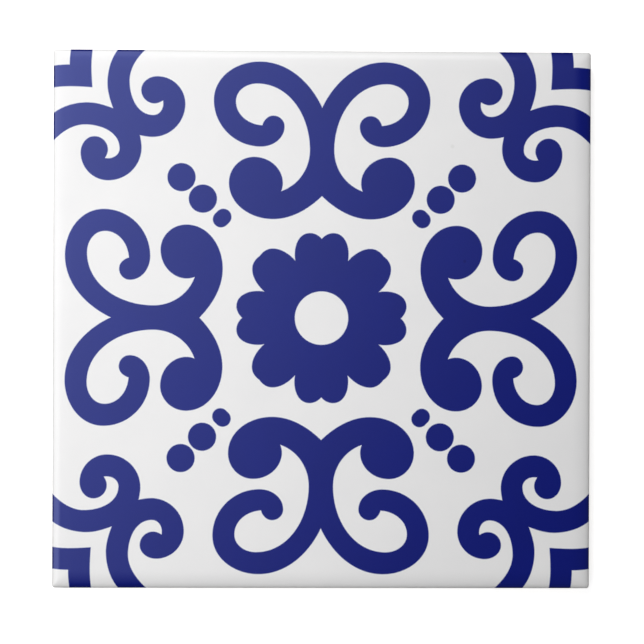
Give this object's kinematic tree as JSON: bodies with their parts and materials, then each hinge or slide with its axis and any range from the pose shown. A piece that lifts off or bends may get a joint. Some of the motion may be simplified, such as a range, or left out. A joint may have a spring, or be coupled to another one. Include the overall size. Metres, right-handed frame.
{
  "type": "azulejo tile",
  "caption": "Square glazed ceramic wall tile with a rolled-over face edge and a keyed back, decorated with blue scrolls, dots and a rosette on white.",
  "frame": {"origin": "centre of the back, in the plane of the rib crests that the tile lies on", "axes": "+Z out of the glazed face, X and Y square to the sides"},
  "size_m": [0.108, 0.108, 0.006],
  "materials": {
    "glazed_earthenware": "white gloss glaze with cobalt blue decoration, matt unglazed back"
  },
  "bodies": {
    "root": {"azulejo_tile": "glazed_earthenware"}
  },
  "joints": []
}
